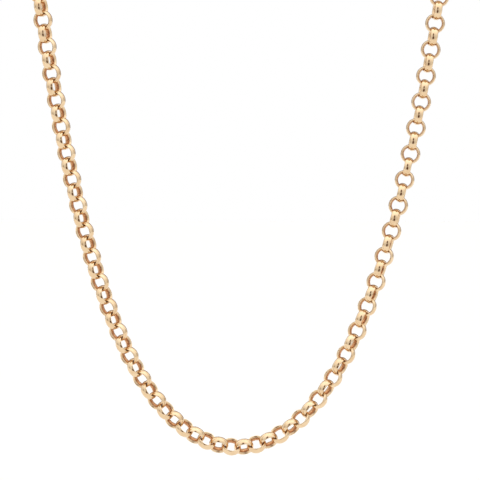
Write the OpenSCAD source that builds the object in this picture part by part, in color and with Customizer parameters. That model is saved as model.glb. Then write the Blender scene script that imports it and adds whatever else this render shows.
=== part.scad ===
// Rolo chain necklace, worn round a neck, with its front hanging in a deep curve.
// Frame: the origin is the point on the nape where the necklace rests.
// +Z is up, -Y is the wearer's front, and +X is to the right of someone facing the wearer.

/* [Link] */
// Outer diameter of a link
link_d = 4; // [3.2:0.1:5]
// Thickness of a link's band, halfway across it
link_wall = 0.605; // [0.5:0.005:0.7]
// Width of the band, along the link's axis
band_w = 1.48; // [1.2:0.02:1.6]
// Height of the domed outside of the band above its edges
outer_dome = 0.23; // [0.18:0.01:0.28]
// Height of the rounded inside of the band above its edges
inner_crown = 0.32; // [0.2:0.01:0.34]
// Clearance between two links that hang in each other
link_gap = 0.105; // [0.105:0.005:0.2]

/* [Necklace] */
// Length of the closed necklace laid out straight, clasp included
necklace_l = 559; // [500:1:660]
// Radius of the chain's lowest bend
bend_r = 15.35; // [14:0.05:24]
// Width of the neck
neck_w = 102; // [88:1:120]
// Depth of the neck, from nape to throat
neck_d = 102; // [88:1:120]
// Slope of the collar line, down from the nape towards the throat, in degrees
collar_slope = 22; // [10:1:30]
// Distance from the nape to the plane in which the front hangs
front_dist = 112; // [100:1:130]
// Fall of the chain from the sides of the neck to where it hangs straight
side_fall = 42; // [30:1:50]
// Pull of the two ends on the curve between neck and front, as a share of its length
side_pull = 0.42; // [0.3:0.01:0.5]

/* [Clasp] */
// Outer diameter of the clasp's ring
clasp_d = 6; // [5.4:0.1:8]
// Thickness of the clasp's ring
clasp_t = 1.1; // [0.8:0.05:1.3]
// Thickness of the eye on the clasp's ring
eye_t = 0.7; // [0.5:0.05:1]
// Depth to which the eye is soldered into the ring
eye_sink = 0.1; // [0.05:0.01:0.2]

/* [Hidden] */

// How the chain turns about its own line, in degrees, at shares of the way
// from the lowest point to the clasp, with the wearer's right side negative
TURN = [
    [-1.00, 0],
    [-0.37, 30],
    [-0.29, 39],
    [-0.18, 41],
    [-0.10, 43],
    [0.00, 45],
    [0.03, 46],
    [0.07, 51],
    [0.12, 55],
    [0.19, 68],
    [0.23, 75],
    [0.29, 85],
    [0.34, 88],
    [0.45, 90],
    [1.00, 90]
];
// Turn from one link to the next, in degrees, at shares of the same way: a little
// more than a quarter where the chain hangs free
NEXT_TURN = [[0, 96], [0.36, 96], [0.42, 90], [1, 90]];

link_r = link_d / 2;
hole_r = link_r - link_wall;
// The band's edges are never sharper than this, so a thin band is rounded less inside
least_edge = 0.05;
crown = min(inner_crown, link_wall - outer_dome - least_edge);
// The band is never so wide that its edges come nearer to the next link, which
// they lie across, than its middle does, with this much to spare for bends
edge_room = 0.08;
band = min(band_w, 2 * sqrt(pow(hole_r, 2) - pow(hole_r - crown + edge_room, 2)));
// The dome's arcs are no wider than this share of the link's radius
roundest = 0.475;
// Half of the least width of the flat between them
least_flat = 0.01;
pitch = 2 * hole_r - link_gap;
// Two links hang closer where the chain bends: this share of the hole's
// radius, for each radian squared that the chain turns from link to link
bend_ease = 2.4;
// Numbers of steps along which the route is worked out
front_steps = 110;
side_steps = 60;
collar_steps = 80;

// Half of the collar line, seen from above, at the middle of the chain
collar_x = neck_w / 2 + link_r;
collar_y = neck_d / 2 + link_r;
// Bend of the collar line at the nape
collar_bend = collar_y / cos(collar_slope) / pow(collar_x, 2);
side_z = -collar_y * tan(collar_slope);
front_top_z = side_z - side_fall;

// Distance from the middle of the clasp's ring to the link that it holds
ring_to_link = clasp_d / 2 - clasp_t - link_gap + hole_r;
// The eye holds a link as another link would
eye_r = hole_r + eye_t / 2;
ring_to_eye = clasp_d / 2 - eye_sink + eye_r;
eye_to_link = 2 * hole_r - link_gap;
clasp_span = ring_to_link + ring_to_eye + eye_to_link;

// Links on each side of the lowest point: an even number, so that both end
// links stand edge on to the neck where the clasp holds them
half_links = 2 * round(((necklace_l - clasp_span) / pitch + 1) / 4);

// A link this near the front's plane hangs in it
plane_near = 0.5;

gold = [0.87, 0.66, 0.47];

function unit(v) = v / norm(v);
function asinh(t) = ln(t + sqrt(t * t + 1));

// The front hangs as a chain does, s along it from its lowest point
function hanging_point(s, height) = [
    bend_r * asinh(s / bend_r),
    -front_dist,
    front_top_z - height + sqrt(bend_r * bend_r + s * s) - bend_r
];
function hanging_end(height) = sqrt(pow(height + bend_r, 2) - bend_r * bend_r);
function hanging_part(height) = [
    for (i = [0:front_steps])
        hanging_point(hanging_end(height) * i / front_steps, height)
];

// From the top of the front back to the side of the neck
function blend(a, b, c, d, t) =
    a * pow(1 - t, 3) + b * 3 * t * pow(1 - t, 2) + c * 3 * t * t * (1 - t) + d * pow(t, 3);
function side_part(height) =
    let (
        s = hanging_end(height),
        low = hanging_point(s, height),
        high = [collar_x, -neck_d / 2, side_z],
        pull = side_pull * norm(high - low),
        rise = unit([bend_r, 0, s]),
        back = [0, cos(collar_slope), sin(collar_slope)]
    )
    [
        for (i = [1:side_steps])
            blend(low, low + pull * rise, high - pull * back, high, i / side_steps)
    ];

// From the side of the neck round to the nape
function collar_point(a) = [
    collar_x * cos(a),
    collar_y * sin(a) - neck_d / 2,
    collar_y * (sin(a) - 1) * tan(collar_slope)
];
collar_part = [for (i = [1:collar_steps]) collar_point(90 * i / collar_steps)];

function half_route(height) = concat(hanging_part(height), side_part(height), collar_part);

// Bend of the route at one of its steps, which is one over its radius there
function bend_at(route, i) =
    let (j = min(max(i, 1), len(route) - 2))
    2 * norm(unit(route[j + 1] - route[j]) - unit(route[j] - route[j - 1]))
    / norm(route[j + 1] - route[j - 1]);
// Distance between two links where the route bends that much
function spacing(bend) = pitch - bend_ease * hole_r * pow(pitch * bend, 2);

// Number of links from the lowest point to each step of the route
function running_links(route) = [
    for (
        i = 0, n = 0;
        i < len(route);
        i = i + 1,
        n = i < len(route)
            ? n + norm(route[i] - route[i - 1]) / spacing(bend_at(route, i))
            : n
    ) n
];
function links_to_nape(height) =
    let (n = running_links(half_route(height))) n[len(n) - 1];

// The front hangs as low as the necklace's length lets it
links_wanted = half_links - 0.5 + clasp_span / 2 / spacing(collar_bend);
function solved_height(low, high, tries) =
    let (middle = (low + high) / 2)
    tries == 0 ? middle
    : links_to_nape(middle) < links_wanted ? solved_height(middle, high, tries - 1)
    : solved_height(low, middle, tries - 1);
front_h = solved_height(10, 200, 32);

route = half_route(front_h);
counts = running_links(route);
route_x = [for (i = [0:len(route) - 1]) [counts[i], route[i].x]];
route_y = [for (i = [0:len(route) - 1]) [counts[i], route[i].y]];
route_z = [for (i = [0:len(route) - 1]) [counts[i], route[i].z]];

// Place on the chain n links from its lowest point
function place(n) = [
    sign(n) * lookup(abs(n), route_x),
    lookup(abs(n), route_y),
    lookup(abs(n), route_z)
];
function along(n) = unit(place(n + 0.5) - place(n - 0.5));

// Direction across the chain that faces front where it hangs, and up round the collar
function face_ref(n) =
    let (t = along(n), y = lookup(abs(n), route_y))
    y <= plane_near - front_dist ? [0, -1, 0]
    : y >= -neck_d / 2 ? [0, -sin(collar_slope), cos(collar_slope)]
    : unit([0, -abs(t.z), abs(t.y)]);
function face(n) = let (t = along(n), f = face_ref(n)) unit(f - (f * t) * t);

// Axis of the link that lies n links from the lowest point, every second one
// turned on
function link_axis(n) =
    let (
        t = along(n),
        f = face(n),
        out = cross(t, f),
        share = n / half_links,
        next = (floor(n) % 2 == 0) ? 0 : lookup(abs(share), NEXT_TURN),
        a = lookup(share, TURN) - next
    )
    cos(a) * f + sin(a) * out;

module placed(origin, x_axis, z_axis) {
    y_axis = cross(z_axis, x_axis);
    multmatrix([
        [x_axis.x, y_axis.x, z_axis.x, origin.x],
        [x_axis.y, y_axis.y, z_axis.y, origin.y],
        [x_axis.z, y_axis.z, z_axis.z, origin.z],
        [0, 0, 0, 1]
    ])
        children();
}

// Section of the band: rounded inside, domed outside, with narrow blunt edges. The
// dome is two arcs with a narrow flat between them
module band_section() {
    crown_r = (pow(band / 2, 2) + pow(crown, 2)) / (2 * crown);
    whole_r = (pow(band / 2, 2) + pow(outer_dome, 2)) / (2 * outer_dome);
    dome_r = min(whole_r, roundest * link_r);
    half_dome = sqrt(pow(dome_r, 2) - pow(dome_r - outer_dome, 2));
    flat = max(band / 2 - half_dome, least_flat);
    intersection() {
        translate([hole_r + crown_r, 0])
            circle(r = crown_r, $fn = 96);
        union() {
            for (side = [-1, 1])
                translate([link_r - dome_r, side * flat])
                    circle(r = dome_r, $fn = 96);
            translate([link_r - dome_r, -flat])
                square([dome_r, 2 * flat]);
        }
        translate([0, -band / 2])
            square([link_d, band]);
    }
}

module link() {
    rotate_extrude($fn = 96)
        band_section();
}

// Links from number first to number last, counted from the lowest point
module links(first, last) {
    for (k = [first:last]) {
        n = k + 0.5;
        placed(place(n), along(n), link_axis(n))
            link();
    }
}

module chain_left() {
    color(gold)
        links(-half_links, -1);
}

module chain_right() {
    color(gold)
        links(0, half_links - 1);
}

module wire_ring(middle_r, thickness) {
    rotate_extrude($fn = 96)
        translate([middle_r, 0])
            circle(d = thickness, $fn = 48);
}

// One plain piece: a ring that holds one end of the chain, with an eye for the other
module clasp() {
    first = place(0.5 - half_links);
    last = place(half_links - 0.5);
    nape = (first + last) / 2;
    color(gold)
        translate([first.x + ring_to_link, nape.y, nape.z])
            rotate([collar_slope - 90, 0, 0]) {
                wire_ring((clasp_d - clasp_t) / 2, clasp_t);
                translate([ring_to_eye, 0, 0])
                    wire_ring(eye_r, eye_t);
            }
}

chain_left();
chain_right();
clasp();
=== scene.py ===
import math
import random

import bmesh
import bpy
import numpy as np
from mathutils import Matrix, Vector


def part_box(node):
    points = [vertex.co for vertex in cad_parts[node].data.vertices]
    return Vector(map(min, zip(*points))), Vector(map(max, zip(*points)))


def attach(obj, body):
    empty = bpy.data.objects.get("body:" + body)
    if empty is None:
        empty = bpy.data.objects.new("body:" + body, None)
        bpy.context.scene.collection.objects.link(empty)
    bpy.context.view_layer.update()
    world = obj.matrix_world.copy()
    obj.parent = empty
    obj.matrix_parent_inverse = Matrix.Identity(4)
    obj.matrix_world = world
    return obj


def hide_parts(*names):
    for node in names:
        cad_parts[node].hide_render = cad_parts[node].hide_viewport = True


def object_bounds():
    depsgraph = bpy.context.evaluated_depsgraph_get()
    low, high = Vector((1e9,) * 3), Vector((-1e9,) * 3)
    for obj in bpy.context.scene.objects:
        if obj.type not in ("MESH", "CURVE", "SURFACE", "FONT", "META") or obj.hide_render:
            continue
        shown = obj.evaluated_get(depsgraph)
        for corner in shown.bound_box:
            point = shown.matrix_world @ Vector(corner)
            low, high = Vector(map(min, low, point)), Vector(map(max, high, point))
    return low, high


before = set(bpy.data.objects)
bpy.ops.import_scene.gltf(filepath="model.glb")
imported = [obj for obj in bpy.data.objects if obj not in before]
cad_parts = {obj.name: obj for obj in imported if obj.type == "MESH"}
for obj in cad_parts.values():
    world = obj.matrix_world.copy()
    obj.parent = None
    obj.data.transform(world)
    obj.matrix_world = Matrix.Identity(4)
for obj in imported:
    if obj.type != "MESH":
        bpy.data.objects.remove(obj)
cad_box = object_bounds()

# The chain
# A rolo chain: 204 round links of one size, each a strip of half-round band bent to a
# ring through the last one and soldered shut. 14 carat rose gold, barrel polished, so
# that the domed outside is bright and the inside keeps the grain of the rolled strip.

MM = 0.001
# Radius of a link at the top of its dome, at the middle of its inside and at its edges,
# and half the width of its band, up to the edges' corners
LINK_OUT = 2.0 * MM
LINK_IN = 1.345 * MM
LINK_EDGE = 1.742 * MM
BAND_HALF = 0.755 * MM
# Corners round a link, how many times they are smoothed, and how much of its edges'
# sharpness that leaves
LINK_STEPS = 12
SMOOTHING = 2
EDGE_CREASE = 0.62
# How far in the edges count as, with 0 for the domed outside and 1 for the inside
EDGE_INWARD = 0.5
# Each side of the chain is this many pieces, which keeps each one's triangles few
PIECES_PER_SIDE = 2
# A smoothed arc between two creased edges leaves this share of its corners' rise
ARC_REACH = 46 / 48
# The arc's two middle corners stand this share of the half width from its middle
ARC_SPREAD = 0.46
# Two corners of a new mesh nearer than this are one, and two of a CAD mesh
SAME_CORNER = 0.001 * MM
SAME_CAD_CORNER = 0.0001 * MM


def shrink(corners):
    """How much smaller a smoothed ring is than its corners."""
    return (2 + math.cos(2 * math.pi / corners)) / 3


def arc_corner(apex):
    """Radius of the two middle corners of an arc that rises from the edge to apex."""
    return (apex - (1 - ARC_REACH) * LINK_EDGE) / ARC_REACH


def band_link():
    """One link round the Z axis, its neighbours pulling along X, with its corners' own
    places in in_link, and inward going from 0 on the domed outside to 1 on the inside."""
    section = [
        (LINK_EDGE, BAND_HALF, EDGE_INWARD),
        (arc_corner(LINK_OUT), ARC_SPREAD * BAND_HALF, 0.0),
        (arc_corner(LINK_OUT), -ARC_SPREAD * BAND_HALF, 0.0),
        (LINK_EDGE, -BAND_HALF, EDGE_INWARD),
        (arc_corner(LINK_IN), -ARC_SPREAD * BAND_HALF, 1.0),
        (arc_corner(LINK_IN), ARC_SPREAD * BAND_HALF, 1.0),
    ]
    link = bmesh.new()
    inward = link.verts.layers.float.new("inward")
    corners = []
    for radius, height, turn in section:
        corner = link.verts.new((radius / shrink(LINK_STEPS), 0, height))
        corner[inward] = turn
        corners.append(corner)
    edges = [link.edges.new((corners[i - 1], corners[i])) for i in range(len(corners))]
    bmesh.ops.spin(
        link, geom=corners + edges, cent=(0, 0, 0), axis=(0, 0, 1),
        angle=2 * math.pi, steps=LINK_STEPS, use_merge=True, use_duplicate=False,
    )
    bmesh.ops.remove_doubles(link, verts=link.verts, dist=SAME_CORNER)
    bmesh.ops.recalc_face_normals(link, faces=link.faces)
    crease = link.edges.layers.float.new("crease_edge")
    for edge in link.edges:
        if all(vert[inward] == EDGE_INWARD for vert in edge.verts):
            edge[crease] = EDGE_CREASE
    own = link.verts.layers.float_vector.new("in_link")
    for vert in link.verts:
        vert[own] = vert.co / MM
    mesh = bpy.data.meshes.new("band_link")
    link.to_mesh(mesh)
    link.free()
    return mesh


def rings_of(node):
    """The area and the middle of each face of each closed ring in a CAD node."""
    whole = bmesh.new()
    whole.from_mesh(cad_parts[node].data)
    bmesh.ops.remove_doubles(whole, verts=whole.verts, dist=SAME_CAD_CORNER)
    left = set(whole.faces)
    rings = []
    for first in whole.faces:
        if first not in left:
            continue
        left.discard(first)
        ring, open_faces = [], [first]
        while open_faces:
            face = open_faces.pop()
            ring.append((face.calc_area(), *face.calc_center_median()))
            for edge in face.edges:
                for other in edge.link_faces:
                    if other in left:
                        left.discard(other)
                        open_faces.append(other)
        rings.append(np.array(ring))
    whole.free()
    return rings


def link_places(node):
    """Where a CAD node's links are: the turns and moves that put band_link there."""
    rings = rings_of(node)
    middles = np.array([np.average(ring[:, 1:], axis=0, weights=ring[:, 0]) for ring in rings])
    places = []
    for ring, middle in zip(rings, middles):
        spread, ways = np.linalg.eigh(np.cov((ring[:, 1:] - middle).T, aweights=ring[:, 0]))
        axis = Vector(ways[:, 0])
        apart = np.linalg.norm(middles - middle, axis=1)
        nearest = Vector(middles[np.argsort(apart)[1]] - middle)
        along = (nearest - nearest.dot(axis) * axis).normalized()
        turn = Matrix((along, axis.cross(along), axis)).transposed()
        places.append(Matrix.Translation(middle) @ turn.to_4x4())
    return places


def smooth_live(piece):
    """Shades a finished piece smooth and gives it live smoothing."""
    for polygon in piece.data.polygons:
        polygon.use_smooth = True
    smoothing = piece.modifiers.new("smoothing", "SUBSURF")
    smoothing.levels = SMOOTHING
    smoothing.render_levels = SMOOTHING


def chain_length(name, mesh, places):
    """Some of the chain's links as one piece, each with its own tone."""
    links = bmesh.new()
    tone = links.verts.layers.float.new("tone")
    for place in places:
        before = len(links.verts)
        links.from_mesh(mesh)
        links.verts.ensure_lookup_table()
        new = links.verts[before:]
        shade = random.uniform(0, 1)
        for vert in new:
            vert[tone] = shade
        bmesh.ops.transform(links, matrix=place, verts=new)
    piece = bpy.data.objects.new(name, bpy.data.meshes.new(name))
    bpy.context.scene.collection.objects.link(piece)
    links.to_mesh(piece.data)
    links.free()
    smooth_live(piece)
    return piece


def linear(hex_colour):
    """A hex sRGB colour as linear red, green, blue and alpha."""
    parts = [int(hex_colour[i:i + 2], 16) / 255 for i in (1, 3, 5)]
    return [*(c / 12.92 if c <= 0.04045 else ((c + 0.055) / 1.055) ** 2.4 for c in parts), 1]


def add(tree, kind, sockets=(), **settings):
    """Adds a node to a tree. settings are its properties, or its sockets' values where
    no property has the name, and sockets are pairs of a value, or another node's socket
    to link from, and the name or number of the socket that it goes to."""
    node = tree.nodes.new(kind)
    for name, value in settings.items():
        if hasattr(node, name):
            setattr(node, name, value)
        else:
            node.inputs[name.replace("_", " ")].default_value = value
    for source, socket in sockets:
        if isinstance(source, bpy.types.NodeSocket):
            tree.links.new(source, node.inputs[socket])
        else:
            node.inputs[socket].default_value = source
    return node


# Numbers of a Mix node's colour sockets, which share their names with others
MIX_A, MIX_B, MIX_RESULT = 6, 7, 2
# Width of the rolled strip's grain, as coarse as it needs to be to show
GRAIN = 0.25 * MM
# Width of the patches where handling has dulled the polish
PATCH = 1.6 * MM
# Distance between fine marks of wear, in millimetres, as in_link is
MARK_MM = 0.08
# Depth of the grain and of the marks
GRAIN_DEPTH = 0.02 * MM
MARK_DEPTH = 0.0015 * MM
# How much of the way from outside to inside the grain makes ragged
RAGGED = 0.16
# Where the polish starts to dull and where it is dull, going from 0 outside to 1 inside
DULL_FROM, DULL_TO = 0.6, 0.85
# Where the raw colour, with its painted shade of the ring's inside, starts and where it is
# whole, further in than the dullness
RAW_AND_SHADE_FROM, RAW_AND_SHADE_TO = 0.9, 1.08


def polished_rose_gold():
    """14 carat rose gold: pale, warm and mirror bright where the barrel's steel shot has
    rolled it, redder, duller and grainy on the inside of the band that it can't reach,
    where its dark copper brown is also painted shade of the ring's inside."""
    material = bpy.data.materials.new("rose_gold_14k_barrel_polished")
    material.use_nodes = True
    tree = material.node_tree
    tree.nodes.clear()
    inward = add(tree, "ShaderNodeAttribute", attribute_name="inward").outputs["Fac"]
    tone = add(tree, "ShaderNodeAttribute", attribute_name="tone").outputs["Fac"]
    own = add(tree, "ShaderNodeAttribute", attribute_name="in_link").outputs["Vector"]
    spot = add(tree, "ShaderNodeTexCoord").outputs["Object"]
    grain = add(tree, "ShaderNodeTexNoise", [(spot, "Vector")], Scale=1 / GRAIN,
                Detail=4, Roughness=0.6).outputs["Fac"]
    patch = add(tree, "ShaderNodeTexNoise", [(spot, "Vector")], Scale=1 / PATCH,
                Detail=2).outputs["Fac"]
    marks = add(tree, "ShaderNodeTexNoise", [(own, "Vector")], Scale=1 / MARK_MM,
                Detail=3, Distortion=1.5).outputs["Fac"]
    ragged = add(tree, "ShaderNodeMath", [(grain, 0), (RAGGED, 1), (inward, 2)],
                 operation="MULTIPLY_ADD").outputs[0]
    dulled, inside = (
        add(tree, "ShaderNodeMapRange", [(ragged, "Value")], From_Min=start, From_Max=whole,
            interpolation_type="SMOOTHSTEP").outputs["Result"]
        for start, whole in ((DULL_FROM, DULL_TO), (RAW_AND_SHADE_FROM, RAW_AND_SHADE_TO))
    )
    # Each link is a little paler or deeper than the next, and handled patches are tanned
    bright = add(tree, "ShaderNodeMix",
                 [(tone, "Factor"), (linear("#E8CCA5"), MIX_A), (linear("#EFD5B0"), MIX_B)],
                 data_type="RGBA").outputs[MIX_RESULT]
    tanned = add(tree, "ShaderNodeMapRange", [(patch, "Value")],
                 To_Min=-0.9, To_Max=1.1).outputs["Result"]
    handled = add(tree, "ShaderNodeMix",
                  [(tanned, "Factor"), (bright, MIX_A), (linear("#DDB98E"), MIX_B)],
                  data_type="RGBA").outputs[MIX_RESULT]
    # The inside goes from copper brown in the grain's hollows to pale on its ridges. That copper
    # brown is partly the raw metal's colour and partly painted shade, darker and redder for the
    # shade within the ring.
    ridge = add(tree, "ShaderNodeMapRange", [(grain, "Value")],
                To_Min=-0.6, To_Max=1.6).outputs["Result"]
    raw_and_shaded = add(tree, "ShaderNodeMix",
              [(ridge, "Factor"), (linear("#965030"), MIX_A), (linear("#E8B684"), MIX_B)],
              data_type="RGBA").outputs[MIX_RESULT]
    # Painted shade: the inside takes the darker, redder colour above, for the shade within each
    # ring as well as for the raw metal
    colour = add(tree, "ShaderNodeMix", [(inside, "Factor"), (handled, MIX_A), (raw_and_shaded, MIX_B)],
                 data_type="RGBA").outputs[MIX_RESULT]
    polish = add(tree, "ShaderNodeMapRange", [(patch, "Value")],
                 To_Min=0.03, To_Max=0.13).outputs["Result"]
    worn = add(tree, "ShaderNodeMapRange", [(grain, "Value")],
               To_Min=0.24, To_Max=0.44).outputs["Result"]
    rough = add(tree, "ShaderNodeMix", [(dulled, "Factor"), (polish, "A"), (worn, "B")],
                data_type="FLOAT").outputs[0]
    height = add(tree, "ShaderNodeMath", [(grain, 0), (inside, 1)],
                 operation="MULTIPLY").outputs[0]
    grainy = add(tree, "ShaderNodeBump", [(height, "Height")],
                 Strength=0.5, Distance=GRAIN_DEPTH).outputs["Normal"]
    marked = add(tree, "ShaderNodeBump", [(marks, "Height"), (grainy, "Normal")],
                 Strength=0.25, Distance=MARK_DEPTH).outputs["Normal"]
    gold = add(tree, "ShaderNodeBsdfPrincipled",
               [(colour, "Base Color"), (rough, "Roughness"), (marked, "Normal")], Metallic=1.0)
    add(tree, "ShaderNodeOutputMaterial", [(gold.outputs[0], "Surface")])
    return material


random.seed(14)
chain_gold = polished_rose_gold()
link_mesh = band_link()
for side in ("left", "right"):
    node = f"chain_{side}"
    places = link_places(node)
    share = math.ceil(len(places) / PIECES_PER_SIDE)
    for part in range(PIECES_PER_SIDE):
        piece = chain_length(
            f"links_{side}_{part + 1}", link_mesh, places[part * share:(part + 1) * share]
        )
        piece.data.materials.append(chain_gold)
        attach(piece, "root")
        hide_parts(node)

# The clasp
# The clasp behind the neck: a ring of round gold wire that holds one end of the chain,
# with a smaller eye of thinner wire for the other end, held to it by a bead of solder
# and polished in one with the chain.

# Radius of the ring and of the eye at the middle of their wire, and the wire's thickness
RING_MIDDLE = 2.45 * MM
RING_WIRE = 1.1 * MM
EYE_MIDDLE = 1.745 * MM
EYE_WIRE = 0.7 * MM
# Corners round a ring of wire, and round the wire itself
WIRE_STEPS = 28
WIRE_CORNERS = 10
# Radius of the bead of solder, and its length along the necklace as a share of its width
SOLDER = 0.47 * MM
SOLDER_LENGTH = 0.75
# The ring lies against the neck, this far from level
CLASP_TILT = math.radians(-68)


def add_wire_ring(whole, middle, wire, centre):
    """Adds a closed ring of round wire, flat at centre, to a mesh in the making."""
    upright = Matrix.Translation((middle / shrink(WIRE_STEPS), 0, 0)) @ Matrix.Rotation(
        math.pi / 2, 4, "X"
    )
    section = bmesh.ops.create_circle(
        whole, cap_ends=False, segments=WIRE_CORNERS, matrix=upright,
        radius=wire / 2 / shrink(WIRE_CORNERS),
    )["verts"]
    edges = list(dict.fromkeys(edge for vert in section for edge in vert.link_edges))
    before = set(whole.verts) - set(section)
    bmesh.ops.spin(
        whole, geom=section + edges, cent=(0, 0, 0), axis=(0, 0, 1),
        angle=2 * math.pi, steps=WIRE_STEPS, use_merge=True, use_duplicate=False,
    )
    new = [vert for vert in whole.verts if vert not in before]
    bmesh.ops.translate(whole, verts=new, vec=(centre, 0, 0))


low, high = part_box("clasp")
ring_centre = Vector((low.x + RING_MIDDLE + RING_WIRE / 2, (low.y + high.y) / 2,
                      (low.z + high.z) / 2))
eye_across = high.x - EYE_MIDDLE - EYE_WIRE / 2 - ring_centre.x
clasp_wire = bmesh.new()
add_wire_ring(clasp_wire, RING_MIDDLE, RING_WIRE, 0)
add_wire_ring(clasp_wire, EYE_MIDDLE, EYE_WIRE, eye_across)
meeting = RING_MIDDLE + RING_WIRE / 2
bmesh.ops.create_icosphere(
    clasp_wire, subdivisions=2, radius=SOLDER,
    matrix=Matrix.Translation((meeting, 0, 0)) @ Matrix.Diagonal((SOLDER_LENGTH, 1, 1, 1)),
)
bmesh.ops.remove_doubles(clasp_wire, verts=clasp_wire.verts, dist=SAME_CORNER)
bmesh.ops.recalc_face_normals(clasp_wire, faces=clasp_wire.faces)
own = clasp_wire.verts.layers.float_vector.new("in_link")
for vert in clasp_wire.verts:
    vert[own] = vert.co / MM
bmesh.ops.transform(
    clasp_wire, verts=clasp_wire.verts,
    matrix=Matrix.Translation(ring_centre) @ Matrix.Rotation(CLASP_TILT, 4, "X"),
)
clasp = bpy.data.objects.new("ring_clasp", bpy.data.meshes.new("ring_clasp"))
bpy.context.scene.collection.objects.link(clasp)
clasp_wire.to_mesh(clasp.data)
clasp_wire.free()
smooth_live(clasp)
clasp.data.materials.append(chain_gold)
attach(clasp, "root")
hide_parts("clasp")

# The studio
# A white table far below the necklace, which hangs free, in a tent of white cloth lit
# from all round. The tent is open in front, where the camera and the dark room are, has
# a seam at each side and a brown wall behind it, and all of this shows small in every link.

# How far the table's top is below the necklace, where its front edge is, and its side,
# in metres
TABLE_DROP = 0.14
TABLE_FRONT = -0.42
TABLE_SIZE = 3.0

table = bpy.data.objects.new("table", bpy.data.meshes.new("table"))
bpy.context.scene.collection.objects.link(table)
top = bmesh.new()
bmesh.ops.create_grid(top, x_segments=1, y_segments=1, size=TABLE_SIZE / 2)
bmesh.ops.translate(top, verts=top.verts,
                    vec=(0, TABLE_FRONT + TABLE_SIZE / 2, cad_box[0].z - TABLE_DROP))
top.to_mesh(table.data)
top.free()
paper = bpy.data.materials.new("white_matt_paper")
paper.use_nodes = True
paper.node_tree.nodes.clear()
sheet = add(paper.node_tree, "ShaderNodeBsdfPrincipled", [(linear("#F7F6F4"), "Base Color")],
            Roughness=0.9)
add(paper.node_tree, "ShaderNodeOutputMaterial", [(sheet.outputs[0], "Surface")])
table.data.materials.append(paper)

# The camera stands where the photo was taken from, found from the links' places. Its
# turns are aside, up and round, in degrees
CAMERA_SPOT = Vector((-51.74, -612.0, -76.91)) * MM
CAMERA_TURNS = (-5.93, -4.39, 0.42)
# Length of its lens and width of its film in millimetres, and the nearest and the
# farthest that it sees in metres
CAMERA_LENS = 187.26
CAMERA_FILM = 36
CAMERA_NEAR, CAMERA_FAR = 0.05, 100

camera = bpy.data.objects.new("camera", bpy.data.cameras.new("camera"))
bpy.context.scene.collection.objects.link(camera)
camera.data.sensor_width = CAMERA_FILM
camera.data.lens = CAMERA_LENS
camera.data.clip_start = CAMERA_NEAR
camera.data.clip_end = CAMERA_FAR
yaw, pitch, roll = (math.radians(turn) for turn in CAMERA_TURNS)
right = Vector((math.cos(yaw), math.sin(yaw), 0))
level = Vector((-math.sin(yaw), math.cos(yaw), 0))
forward = level * math.cos(pitch) + Vector((0, 0, math.sin(pitch)))
up = right.cross(forward)
turned_right = right * math.cos(roll) + up * math.sin(roll)
turned_up = up * math.cos(roll) - right * math.sin(roll)
facing = Matrix((turned_right, turned_up, -forward)).transposed().to_4x4()
camera.matrix_world = Matrix.Translation(CAMERA_SPOT) @ facing
bpy.context.scene.camera = camera

# Brightness of the tent, by degrees round from the camera's side and by degrees up
ROUND = [(-180, 0.66), (-140, 0.8), (-110, 0.97), (-80, 0.9), (-55, 0.95), (-30, 0.92), (0, 0.9),
         (30, 0.9), (55, 1.0), (80, 0.98), (110, 0.97), (140, 0.78), (180, 0.66)]
RISE = [(-90, 1.1), (-45, 1.0), (-20, 0.87), (0, 0.88), (20, 1.05), (45, 1.4), (65, 1.6),
        (90, 1.75)]
# What isn't white cloth: the middle, half width and half height in degrees, how far it
# hides the cloth, and its colour
GAPS = [
    (-6, -12, 17, 18, 0.96, "#5A3416"),
    (-6, 25, 14, 17, 0.88, "#5A3416"),
    (-70, -4, 8, 16, 0.6, "#7A4E28"),
    (104, 8, 9, 13, 0.6, "#7A4E28"),
    (180, 8, 36, 30, 0.95, "#7A4A20"),
]
# Each hides the cloth that far up to the first share of its half size, then less and
# less, and not at all past the second
GAP_INSIDE, GAP_OUTSIDE = 0.75, 1.3

world = bpy.data.worlds.new("white_tent")
bpy.context.scene.world = world
world.use_nodes = True
tent = world.node_tree
tent.nodes.clear()
way = add(tent, "ShaderNodeTexCoord").outputs["Generated"]
front = Vector((-forward.x, -forward.y, 0)).normalized()
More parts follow.
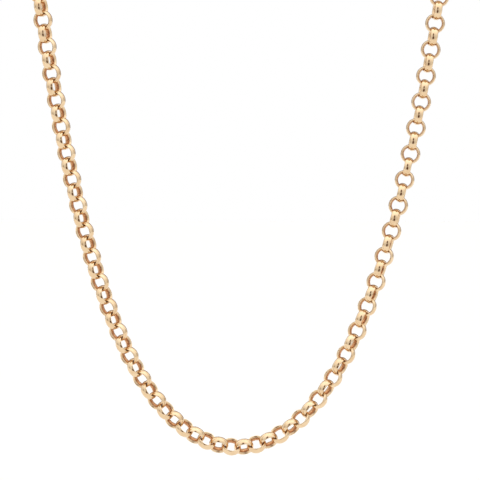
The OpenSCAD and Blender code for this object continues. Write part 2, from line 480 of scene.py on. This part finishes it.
# How far the view goes to the camera, to the picture's right and up, from -1 to 1
ahead, aside, rise = (
    add(tent, "ShaderNodeVectorMath", [(way, 0), (direction, 1)],
        operation="DOT_PRODUCT").outputs["Value"]
    for direction in (front, right, (0, 0, 1))
)
turn = add(tent, "ShaderNodeMath", [(aside, 0), (ahead, 1)], operation="ARCTAN2").outputs[0]
tilt = add(tent, "ShaderNodeMath", [(rise, 0)], operation="ARCSINE").outputs[0]
brightness = []
for angle, greatest, stops in ((turn, math.pi, ROUND), (tilt, math.pi / 2, RISE)):
    share = add(tent, "ShaderNodeMapRange", [(angle, "Value")],
                From_Min=-greatest, From_Max=greatest).outputs["Result"]
    ramp = add(tent, "ShaderNodeValToRGB", [(share, "Fac")])
    steps = ramp.color_ramp.elements
    while len(steps) < len(stops):
        steps.new(0.5)
    for step, (at, grey) in zip(steps, stops):
        step.position = (math.radians(at) + greatest) / (2 * greatest)
        step.color = (grey, grey, grey, 1)
    brightness.append(ramp.outputs["Color"])
light = add(tent, "ShaderNodeMath", [(brightness[0], 0), (brightness[1], 1)],
            operation="MULTIPLY").outputs[0]
for round_at, up_at, half_wide, half_high, hiding, colour in GAPS:
    # How far off the gap's middle the view is, in half sizes of the gap
    off = add(tent, "ShaderNodeMath", [(turn, 0), (math.radians(round_at), 1)],
              operation="SUBTRACT").outputs[0]
    off_round = add(tent, "ShaderNodeMath", [(off, 0), (math.pi, 1), (-math.pi, 2)],
                    operation="WRAP").outputs[0]
    off_up = add(tent, "ShaderNodeMath", [(tilt, 0), (math.radians(up_at), 1)],
                 operation="SUBTRACT").outputs[0]
    squares = []
    for away, half in ((off_round, half_wide), (off_up, half_high)):
        part = add(tent, "ShaderNodeMath", [(away, 0), (math.radians(half), 1)],
                   operation="DIVIDE").outputs[0]
        squares.append(add(tent, "ShaderNodeMath", [(part, 0), (part, 1)],
                           operation="MULTIPLY").outputs[0])
    total = add(tent, "ShaderNodeMath", [(squares[0], 0), (squares[1], 1)],
                operation="ADD").outputs[0]
    reach = add(tent, "ShaderNodeMath", [(total, 0)], operation="SQRT").outputs[0]
    hidden = add(tent, "ShaderNodeMapRange", [(reach, "Value")],
                 From_Min=GAP_INSIDE, From_Max=GAP_OUTSIDE, To_Min=hiding, To_Max=0.0,
                 interpolation_type="SMOOTHSTEP").outputs["Result"]
    light = add(tent, "ShaderNodeMix",
                [(hidden, "Factor"), (light, MIX_A), (linear(colour), MIX_B)],
                data_type="RGBA").outputs[MIX_RESULT]
# Beyond the table's edges the picture itself shows plain white
seen = add(tent, "ShaderNodeLightPath").outputs["Is Camera Ray"]
shown = add(tent, "ShaderNodeMix",
            [(seen, "Factor"), (light, MIX_A), (linear("#FFFFFF"), MIX_B)],
            data_type="RGBA").outputs[MIX_RESULT]
glow = add(tent, "ShaderNodeBackground", [(shown, "Color")], Strength=1.0)
add(tent, "ShaderNodeOutputWorld", [(glow.outputs[0], "Surface")])
bpy.context.scene.view_settings.view_transform = "Standard"
